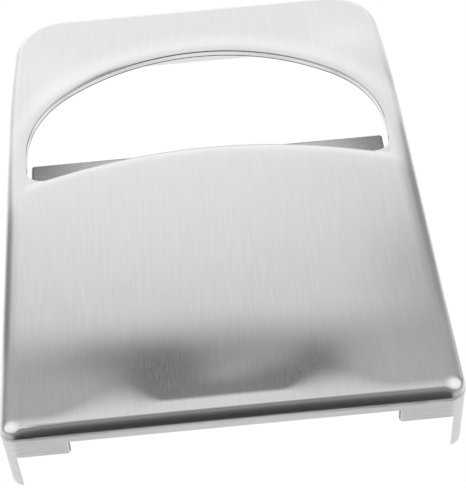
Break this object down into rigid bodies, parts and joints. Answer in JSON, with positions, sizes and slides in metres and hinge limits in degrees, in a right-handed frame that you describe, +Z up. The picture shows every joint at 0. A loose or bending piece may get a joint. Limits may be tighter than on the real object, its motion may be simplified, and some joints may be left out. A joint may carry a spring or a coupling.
{
  "type": "toilet seat cover dispenser",
  "caption": "Wall-hung stainless dispenser for folded paper toilet seat covers, a shallow pressed cover with an arched opening, open at the bottom, on a flat back plate",
  "frame": {"origin": "the middle of the four wall screw holes, in the wall plane", "axes": "+Z up, +Y into the wall, the face looks towards -Y, X across"},
  "size_m": [0.225, 0.044, 0.3081],
  "materials": {
    "cover_steel": "satin, brushed upright",
    "plate_steel": "satin, brushed upright",
    "angle_steel": "plain mill finish"
  },
  "bodies": {
    "root": {"cover_shell": "cover_steel", "back_plate": "plate_steel", "side_angle_left": "angle_steel", "side_angle_right": "angle_steel"}
  },
  "joints": []
}
